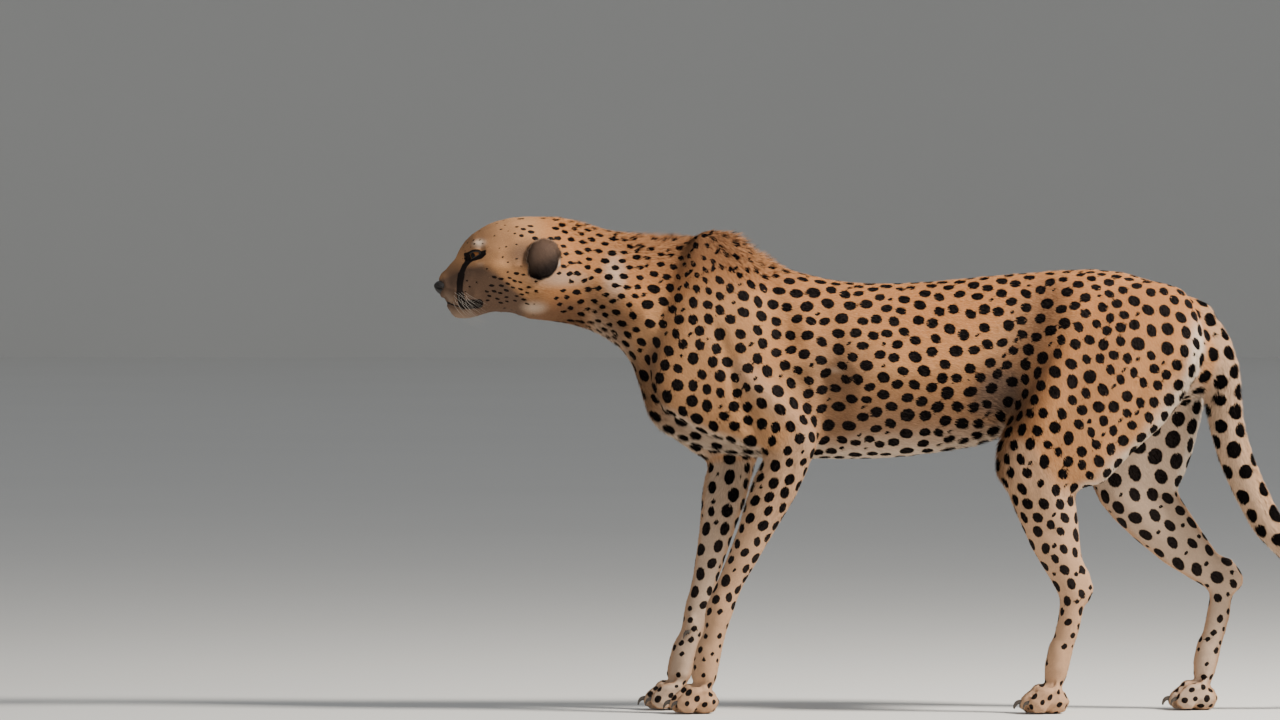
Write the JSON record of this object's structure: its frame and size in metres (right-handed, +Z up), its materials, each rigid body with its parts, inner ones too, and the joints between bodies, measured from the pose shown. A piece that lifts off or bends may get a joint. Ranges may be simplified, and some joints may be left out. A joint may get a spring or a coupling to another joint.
{
  "type": "cheetah figure",
  "caption": "Life-size cheetah in a slow stalking walk, head held low and forward with folded ears, slender trunk, long legs and a hanging tail that lifts at its end.",
  "frame": {"origin": "floor level, in the middle of the animal's length and breadth", "axes": "+Z up, the head points along -X, the animal's left side faces -Y"},
  "size_m": [1.5466, 0.2036, 0.745],
  "materials": {
    "coat": "short spotted fur, matt",
    "pale_coat": "short pale fur, matt",
    "dark_coat": "short dark fur, matt",
    "nose": "moist bare skin",
    "eye": "polished, wet",
    "claw": "horn, slightly glossy"
  },
  "bodies": {
    "root": {"belly": "coat", "chest": "coat", "claw_fore_left_1": "claw", "claw_fore_left_2": "claw", "claw_fore_left_3": "claw", "claw_fore_left_4": "claw", "claw_fore_right_1": "claw", "claw_fore_right_2": "claw", "claw_fore_right_3": "claw", "claw_fore_right_4": "claw", "claw_hind_left_1": "claw", "claw_hind_left_2": "claw", "claw_hind_left_3": "claw", "claw_hind_left_4": "claw", "claw_hind_right_1": "claw", "claw_hind_right_2": "claw", "claw_hind_right_3": "claw", "claw_hind_right_4": "claw", "dewclaw_left": "claw", "dewclaw_right": "claw", "ear_left": "dark_coat", "ear_right": "dark_coat", "eye_left": "eye", "eye_right": "eye", "forearm_left": "coat", "forearm_right": "coat", "forepaw_left": "coat", "forepaw_right": "coat", "head": "coat", "hindpaw_left": "coat", "hindpaw_right": "coat", "jaw": "pale_coat", "neck": "coat", "nose": "nose", "rump": "coat", "shank_left": "coat", "shank_right": "coat", "shoulder_left": "coat", "shoulder_right": "coat", "tail_1": "coat", "tail_2": "coat", "tail_3": "coat", "tail_4": "coat", "thigh_left": "coat", "thigh_right": "coat"}
  },
  "joints": []
}
